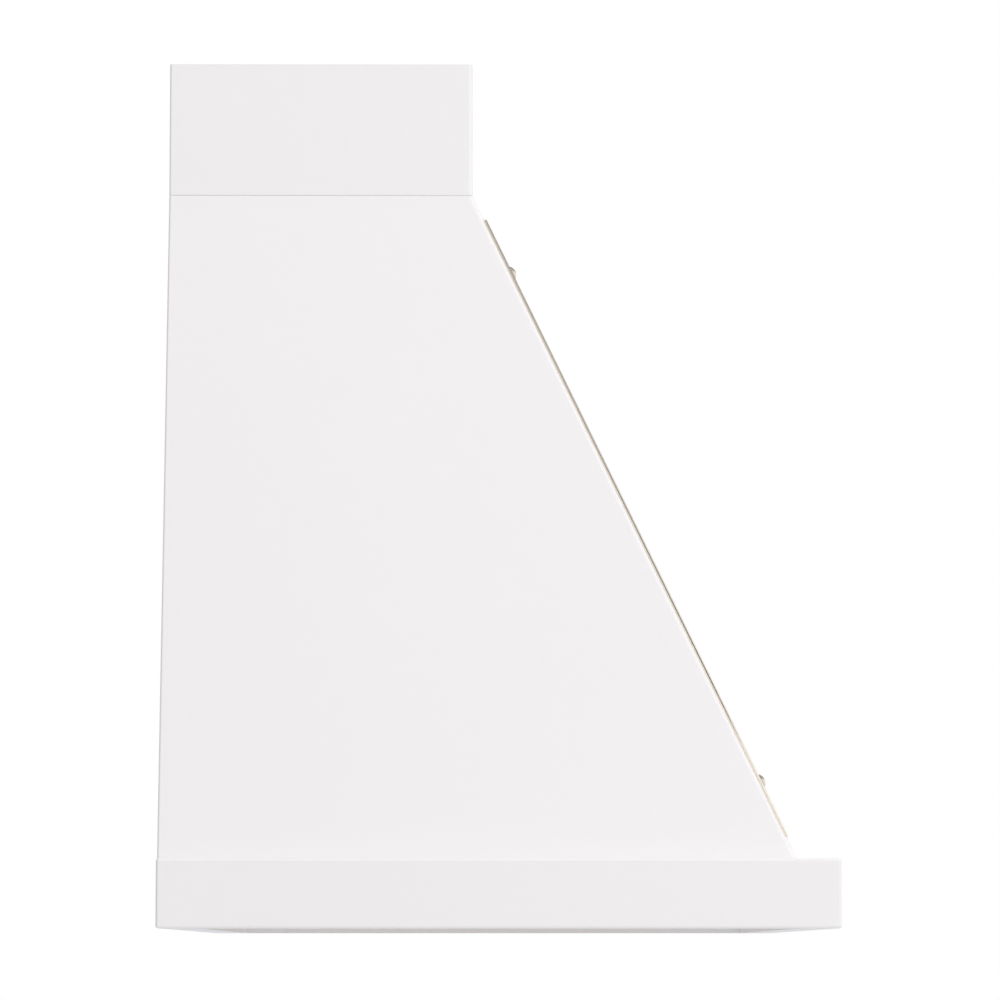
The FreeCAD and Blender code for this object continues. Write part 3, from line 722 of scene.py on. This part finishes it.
# %% Timber group
PITH = (0.11, 0.074, 0.0)
BEND_SCALE, BEND_PACE, BEND = 5.0, 0.16, 0.03
SEASON_PACE, SEASON_SWING = 0.35, 2.4
LATE_FROM, LATE_FULL, LATE_TO = 0.25, 0.9, 0.93
FIBRE_SCALE, FIBRE_PACE, FIBRE_HEIGHT = 1300.0, 0.022, 0.00006
FLECK_SCALE, FLECK_PACE, FLECK_DEPTH = 2300.0, 0.05, 0.00004
HEART_SCALE, HEART_PACE = 11.0, 0.12
RING_HEIGHT = 0.00003
WOOD_ROUGHNESS = 0.5


def drawn_out(tree, place, pace):
    """Shortens the steps along the grain, so that noise read at this place is drawn out along it."""
    return vectors(tree, "MULTIPLY", place, (1.0, 1.0, pace))


timber, taken, given = new_group("timber", {
    "Place": VECTOR, "Ring Gap": FLOAT, "Light": COLOUR, "Dark": COLOUR, "Heart": COLOUR,
    "Heart Share": FLOAT}, SURFACE)
place = taken["Place"]
slow = noise(timber, drawn_out(timber, place, BEND_PACE), BEND_SCALE, 2.0, 0.4)
bend = sums(timber, "MULTIPLY", sums(timber, "SUBTRACT", slow, 0.5), BEND)
across_grain = vectors(timber, "MULTIPLY", vectors(timber, "ADD", place, PITH), (1.0, 1.0, 0.0))
from_pith = add(timber, "ShaderNodeVectorMath", {0: across_grain}, operation="LENGTH").outputs["Value"]
year = sums(timber, "DIVIDE", sums(timber, "ADD", from_pith, bend), taken["Ring Gap"])
seasons = add(timber, "ShaderNodeCombineXYZ", {0: sums(timber, "MULTIPLY", year, SEASON_PACE)}).outputs[0]
season = noise(timber, seasons, 1.0, 2.0)
part_of_year = sums(timber, "FRACT", sums(timber, "MULTIPLY_ADD", season, SEASON_SWING, year))
late = sums(timber, "MULTIPLY", remap(timber, part_of_year, LATE_FROM, LATE_FULL),
            remap(timber, part_of_year, LATE_TO, 1.0, 1.0, 0.0))
fibre = noise(timber, drawn_out(timber, place, FIBRE_PACE), FIBRE_SCALE, 2.0)
fleck = noise(timber, drawn_out(timber, place, FLECK_PACE), FLECK_SCALE, 1.0)
fleck = remap(timber, fleck, 0.62, 0.72)
heart = noise(timber, drawn_out(timber, place, HEART_PACE), HEART_SCALE, 3.0, 0.6)
heart = sums(timber, "MULTIPLY", remap(timber, heart, 0.5, 0.68), taken["Heart Share"])
strong = remap(timber, season, 0.3, 0.7, 0.2, 0.5)
darker = sums(timber, "MULTIPLY_ADD", late, strong, remap(timber, fibre, 0.3, 0.75, 0.0, 0.4))
tone = blend(timber, darker, taken["Light"], taken["Dark"])
tone = blend(timber, heart, tone, taken["Heart"])
tone = blend(timber, sums(timber, "MULTIPLY", fleck, 0.35), tone, taken["Dark"])
grip = sums(timber, "MULTIPLY_ADD", fibre, 0.2, sums(timber, "MULTIPLY_ADD", late, -0.06, WOOD_ROUGHNESS))
relief = sums(timber, "MULTIPLY_ADD", fibre, FIBRE_HEIGHT, sums(timber, "MULTIPLY", late, RING_HEIGHT))
relief = sums(timber, "MULTIPLY_ADD", fleck, -FLECK_DEPTH, relief)
put_out(timber, given, Color=tone, Roughness=grip, Height=relief)
print("timber group nodes:", len(timber.nodes))

# %% [markdown]
# ### Sprayed paint
#
# A sprayed satin lacquer on smooth board is almost perfectly even. What the eye still reads as paint is the
# faint orange peel in its highlights, a very slow drift in tone and sheen, and a few specks of dust caught in
# the last coat. All of it is kept weak, because the piece is new and clean. A fine darker line of painted shade
# runs along the rounded edges that meet the wall, where they turn from the light, and a fainter one round the
# top.

# %% Paint group
PAINT = colour(0.875, 0.857, 0.866)
THIN_PAINT = colour(0.72, 0.71, 0.69)
EDGE_SHADE_TONE = colour(0.60, 0.585, 0.575)
DRIFT_SCALE = 3.5
PEEL_SCALE, PEEL_HEIGHT = 420.0, 0.000006
NIB_SCALE, NIB_HEIGHT = 160.0, 0.00003
SHADED_EDGE_WIDTH, SHADED_EDGE_BLUR = 0.0014, 0.0003
WALL_EDGE_SHADE, TOP_EDGE_SHADE = 0.5, 0.15
PAINT_ROUGHNESS = 0.42

paint, taken, given = new_group("sprayed paint", {"Place": VECTOR, "Paint": COLOUR}, SURFACE)
place = taken["Place"]
drift = noise(paint, place, DRIFT_SCALE, 2.0)
peel = noise(paint, place, PEEL_SCALE, 2.0)
nib = remap(paint, noise(paint, place, NIB_SCALE, 0.0), 0.86, 0.9)
thin = remap(paint, drift, 0.3, 0.7, 0.0, 0.03)
tone = blend(paint, thin, taken["Paint"], THIN_PAINT)
parts = add(paint, "ShaderNodeSeparateXYZ", {0: place}).outputs
# Painted shade: a fine darker line along the rounded edges at the wall and, fainter, round the top.
for part, end, share in (("Y", cad_high.y, WALL_EDGE_SHADE), ("Z", cad_high.z, TOP_EDGE_SHADE)):
    inner = end - SHADED_EDGE_WIDTH
    line = remap(paint, parts[part], inner - SHADED_EDGE_BLUR, inner + SHADED_EDGE_BLUR, 0.0, share)
    tone = blend(paint, line, tone, EDGE_SHADE_TONE)
sheen = sums(paint, "MULTIPLY_ADD", drift, 0.08, sums(paint, "MULTIPLY_ADD", peel, 0.05, PAINT_ROUGHNESS))
relief = sums(paint, "MULTIPLY_ADD", peel, PEEL_HEIGHT, sums(paint, "MULTIPLY", nib, NIB_HEIGHT))
put_out(paint, given, Color=tone, Roughness=sheen, Height=relief)
print("paint group nodes:", len(paint.nodes))

# %% [markdown]
# ### Where the paint stops
#
# The cover was sprayed from outside and below once it was glued up. So paint lies on every face that shows,
# it laps round the edges that meet the wall, and it ends there in a soft speckled band; the hidden inner
# faces are bare. How deep a point lies below a sprayed plane is the plane's reach along its own direction
# less the point's, and the least of these depths, roughened by noise, says whether paint got there.

# %% Overspray group
SPRAY_REACH = 0.0155
RAGGED_SCALE, RAGGED = 90.0, 0.004
SPECKLE_SCALE, SPECKLE = 1400.0, 0.006
FADE_FROM, FADE_TO = -0.0008, 0.0012

spray, taken, given = new_group("overspray", {"Place": VECTOR, "Depth": FLOAT, "Reach": FLOAT},
                                {"Painted": FLOAT})
ragged = noise(spray, taken["Place"], RAGGED_SCALE, 2.0)
ragged = sums(spray, "MULTIPLY_ADD", ragged, RAGGED, -RAGGED / 2)
speckle = noise(spray, taken["Place"], SPECKLE_SCALE, 1.0)
speckle = sums(spray, "MULTIPLY_ADD", speckle, SPECKLE, -SPECKLE / 2)
rough_depth = sums(spray, "ADD", taken["Depth"], sums(spray, "ADD", ragged, speckle))
past = sums(spray, "SUBTRACT", rough_depth, taken["Reach"])
put_out(spray, given, Painted=remap(spray, past, FADE_FROM, FADE_TO, 1.0, 0.0))


def depth_below(tree, place, planes):
    """How deep a point lies below the nearest of some planes, each a direction and its reach."""
    depths = [sums(tree, "SUBTRACT", reach, along(tree, place, normal)) for normal, reach in planes]
    least = depths[0]
    for depth in depths[1:]:
        least = sums(tree, "MINIMUM", least, depth)
    return least


# %% [markdown]
# ### Boards
#
# Each board gets its own cut through the trunk: its grain direction is one of the three axes, and an offset
# taken from the board's own place keeps neighbours from continuing each other. A painted board mixes paint
# over bare wood by the overspray mask, in one shader, so that the edge of the paint film also shows as a tiny
# step. Paint mirrors less than bare wood does, and both numbers are the same all over.

# %% Board materials
POPLAR = {"Light": colour(0.70, 0.555, 0.375), "Dark": colour(0.53, 0.38, 0.225),
          "Heart": colour(0.50, 0.43, 0.27), "Ring Gap": 0.0055, "Heart Share": 0.45}
WIDE_POPLAR = {**POPLAR, "Ring Gap": 0.007, "Heart Share": 0.3}
BEECH = {"Light": colour(0.60, 0.42, 0.26), "Dark": colour(0.47, 0.29, 0.16),
         "Heart": colour(0.52, 0.34, 0.20), "Ring Gap": 0.003, "Heart Share": 0.2}
WOOD_GLOSS = {"IOR": 1.45}
PAINT_GLOSS = {"Specular IOR Level": 0.25}
FILM_STEP = 0.00004
CUT_SPREAD, CUT_TURN, CUT_START = 0.37, 40.0, 3.0
GRAIN_TURNS = {"X": ("Y", "Z", "X"), "Y": ("Z", "X", "Y"), "Z": ("X", "Y", "Z")}


def cut_place(tree, place, node, grain):
    """The shaded point in the trunk that a board was cut from, with the grain along its third axis."""
    low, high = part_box(node)
    shift = tuple(CUT_SPREAD * math.sin(CUT_TURN * part + CUT_START) for part in (low + high) / 2)
    parts = add(tree, "ShaderNodeSeparateXYZ", {0: vectors(tree, "ADD", place, shift)}).outputs
    turned_parts = {number: parts[axis] for number, axis in enumerate(GRAIN_TURNS[grain])}
    return add(tree, "ShaderNodeCombineXYZ", turned_parts).outputs[0]


def bare_board(node, grain, wood):
    """A planed board with no finish on it."""
    made, tree, place = new_material("bare_" + node)
    shaded(tree, use(tree, timber, {"Place": cut_place(tree, place, node, grain), **wood}), WOOD_GLOSS)
    return made


def painted_board(node, grain, planes):
    """A board with paint down to a short way below the sprayed planes, and bare poplar beyond."""
    made, tree, place = new_material("painted_" + node)
    film = use(tree, paint, {"Place": place, "Paint": PAINT})
    wood = use(tree, timber, {"Place": cut_place(tree, place, node, grain), **WIDE_POPLAR})
    depth = depth_below(tree, place, planes)
    mask = use(tree, spray, {"Place": place, "Depth": depth, "Reach": SPRAY_REACH})["Painted"]
    height = sums(tree, "MULTIPLY_ADD", mask, FILM_STEP, fade(tree, mask, wood["Height"], film["Height"]))
    surface = {"Color": blend(tree, mask, wood["Color"], film["Color"]),
               "Roughness": fade(tree, mask, wood["Roughness"], film["Roughness"]), "Height": height}
    shaded(tree, surface, PAINT_GLOSS)
    return made


def dress(node, material):
    """Puts a material in a node's only slot."""
    NODES[node].material_slots[0].material = material


painted, tree, place = new_material("painted_all_over")
shaded(tree, use(tree, paint, {"Place": place, "Paint": PAINT}), PAINT_GLOSS)
for side in ("front", "left", "right"):
    dress("apron_" + side, painted)
for side in ("front", "back", "left", "right"):
    dress("liner_rail_" + side, painted)

DOWN, UP, INWARD = (0.0, 0.0, -1.0), (0.0, 0.0, 1.0), (0.0, -1.0, 0.0)
top_plane = (UP, cad_high.z)
for node, plane in PLANES.items():
    planes = [plane, top_plane] if node.startswith("chimney") else [plane]
    dress(node, painted_board(node, "Z", planes))

BODY_PLANES = [PLANES[node] for node in BODY_PANELS]
for side, grain in (("front", "X"), ("back", "X"), ("left", "Y"), ("right", "Y")):
    node = "base_frame_" + side
    dress(node, painted_board(node, grain, [(DOWN, -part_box(node)[0].z)] + BODY_PLANES))
back_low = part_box("apron_back")[0]
dress("apron_back", painted_board("apron_back", "X", [(DOWN, -back_low.z), (INWARD, -back_low.y)]))

BARE = {"X": ["upper_nailer", "lower_nailer", "top_frame_front", "chimney_wall_rail", "chimney_cleat_front"],
        "Y": ["top_frame_left", "top_frame_right", "chimney_cleat_left", "chimney_cleat_right"],
        "Z": ["left_back_stile", "right_back_stile", "left_corner_block", "right_corner_block",
              "chimney_block_left", "chimney_block_right"]}
for grain, nodes in BARE.items():
    for node in nodes:
        dress(node, bare_board(node, grain, POPLAR))
dress("apron_tongues", bare_board("apron_tongues", "Z", BEECH))
for node in DOWEL_NODES:
    grain = "Y" if node in ("base_frame_dowels", "top_frame_dowels") else "X"
    bpy.data.objects["fluted_" + node].data.materials.append(bare_board(node, grain, BEECH))
print("materials so far:", len(bpy.data.materials))

# %% [markdown]
# ### Metal
#
# Brass and zinc share one group: fine hairlines along one direction, soft smudges that dull the shine in
# patches, and a darkening mask that each material works out for itself: real tarnish on the zinc, painted
# shade and painted reflection round the brass buttons. The hairlines are only a few thousandths of a millimetre
# deep, because the photographed edge mirrors its surroundings quite sharply.

# %% Worn metal group
HAIR_SCALE, HAIR_PACE, HAIR_HEIGHT = 3200.0, 0.012, 0.0000012
SMUDGE_SCALE, SPOT_SCALE = 48.0, 900.0
METAL_GLOSS = {"Metallic": 1.0}

worn, taken, given = new_group("worn metal", {
    "Place": VECTOR, "Bright": COLOUR, "Oxide And Shade Tone": COLOUR, "Tarnish And Shade": FLOAT, "Shine": FLOAT}, SURFACE)
place = taken["Place"]
hairs = noise(worn, vectors(worn, "MULTIPLY", place, (1.0, HAIR_PACE, 1.0)), HAIR_SCALE, 2.0)
smudge = noise(worn, place, SMUDGE_SCALE, 3.0, 0.6)
spots = remap(worn, noise(worn, place, SPOT_SCALE, 1.0), 0.7, 0.78)
dull = remap(worn, smudge, 0.5, 0.8)
# The darkening input holds real tarnish for zinc, and painted shade and painted reflection for the brass.
dirt_and_shade = sums(worn, "MULTIPLY_ADD", dull, 0.06, taken["Tarnish And Shade"])
dirt_and_shade = sums(worn, "MINIMUM", sums(worn, "MULTIPLY_ADD", spots, 0.12, dirt_and_shade), 1.0)
tone = blend(worn, dirt_and_shade, taken["Bright"], taken["Oxide And Shade Tone"])
grip = sums(worn, "MULTIPLY_ADD", hairs, 0.03, taken["Shine"])
grip = sums(worn, "ADD", grip, sums(worn, "MULTIPLY_ADD", dirt_and_shade, 0.3, sums(worn, "MULTIPLY", dull, 0.03)))
put_out(worn, given, Color=tone, Roughness=grip, Height=sums(worn, "MULTIPLY", hairs, HAIR_HEIGHT))
print("metal group nodes:", len(worn.nodes))

# %% [markdown]
# ### Brass straps and buttons
#
# The straps are drawn flat bars with hairlines along them. Their broad faces are satin, and the foot of each
# side, down by the paint, where the polishing wheel didn't reach, is duller still. The rest of the sides is
# polished and mirrors the grey ceiling. A thin darker ring of painted shade lies on the strap round each
# button, and the foot of each dome is painted darker as a painted reflection of a dark surround.

# %% Brass
BRASS = {"Bright": colour(0.90, 0.835, 0.75), "Oxide And Shade Tone": colour(0.26, 0.17, 0.08)}
BUTTON_HALF = 0.0069
RING_FROM, RING_TO, RING_SHADE = 0.0002, 0.0022, 0.5
POLISHED_DEPTH, POLISHED_EDGE, POLISH_BLUR = 0.0018, 0.0009, 0.0002
POLISHED, SATIN, DULL = 0.02, 0.3, 0.5


def strap_shine(tree, place, strap):
    """How rough a strap is: satin on its broad faces, polished near its edges, dull down by the paint."""
    across_axis, _, out_axis = STRAP_AXES[strap]
    across, outward = (corners_of(strap) @ axis for axis in (across_axis, out_axis))
    middle, half = float(across.max() + across.min()) / 2, float(np.ptp(across)) / 2
    aside = sums(tree, "ABSOLUTE", sums(tree, "SUBTRACT", along(tree, place, across_axis), middle))
    face_end = half - POLISHED_EDGE
    face = remap(tree, aside, face_end, face_end + 2 * POLISH_BLUR, 1.0, 0.0)
    foot_line = float(outward.max()) - POLISHED_DEPTH
    height = along(tree, place, out_axis)
    foot = remap(tree, height, foot_line - POLISH_BLUR, foot_line + POLISH_BLUR, 1.0, 0.0)
    return fade(tree, foot, fade(tree, face, POLISHED, SATIN), DULL)


def brass_strap(strap, button_feet):
    """Brass for one strap, with its pattern along the strap and rings of painted shade where its buttons stand.
    """
    made, tree, place = new_material("brass_" + strap)
    parts = {number: along(tree, place, axis) for number, axis in enumerate(STRAP_AXES[strap])}
    flat = add(tree, "ShaderNodeCombineXYZ", parts).outputs[0]
    rings = 0.0
    for foot in button_feet:
        away = add(tree, "ShaderNodeVectorMath", {0: place, 1: tuple(foot)}, operation="DISTANCE")
        away = away.outputs["Value"]
        # Painted shade: a thin darker ring on the strap round each button's foot.
        ring = remap(tree, sums(tree, "SUBTRACT", away, BUTTON_HALF), RING_FROM, RING_TO, RING_SHADE, 0.0)
        rings = sums(tree, "MAXIMUM", rings, ring)
    sockets = {"Place": flat, "Tarnish And Shade": rings, "Shine": strap_shine(tree, place, strap), **BRASS}
    shaded(tree, use(tree, worn, sockets), METAL_GLOSS)
    return made


for strap in STRAPS:
    side = -1 if strap.startswith("left") else 1
    feet = [foot for piece, foot in BUTTONS if foot[0] * side > 0]
    dress(strap, brass_strap(strap, feet))

DOME_SHINE, DOME_FOOT_SHADE = 0.16, 0.75
FOOT_SHADE_FULL, FOOT_SHADE_END = 0.06, 0.45

button_brass, tree, place = new_material("brass_button")
height = add(tree, "ShaderNodeAttribute", attribute_name="dome_height").outputs["Fac"]
# Painted reflection: the brass darkens towards the foot of each dome, as if it mirrored a dark surround.
foot_shade = remap(tree, height, FOOT_SHADE_FULL, FOOT_SHADE_END, DOME_FOOT_SHADE, 0.0)
sockets = {"Place": place, "Tarnish And Shade": foot_shade, "Shine": DOME_SHINE, **BRASS}
shaded(tree, use(tree, worn, sockets), METAL_GLOSS)
for piece, foot in BUTTONS:
    piece.data.materials.append(button_brass)

# %% [markdown]
# ### Zinc screws
#
# Bright zinc is a cool grey with a slightly milky shine and a faint even tarnish.

# %% Zinc
ZINC = {"Bright": colour(0.62, 0.63, 0.62), "Oxide And Shade Tone": colour(0.22, 0.21, 0.19), "Tarnish And Shade": 0.08,
        "Shine": 0.28}
CLOSE_HAIRS = (1.0, 40.0, 1.0)

zinc, tree, place = new_material("zinc_screw")
shaded(tree, use(tree, worn, {"Place": vectors(tree, "MULTIPLY", place, CLOSE_HAIRS), **ZINC}), METAL_GLOSS)
for node in SCREW_NODES:
    bpy.data.objects["threaded_" + node].data.materials.append(zinc)
print("all materials:", len(bpy.data.materials))
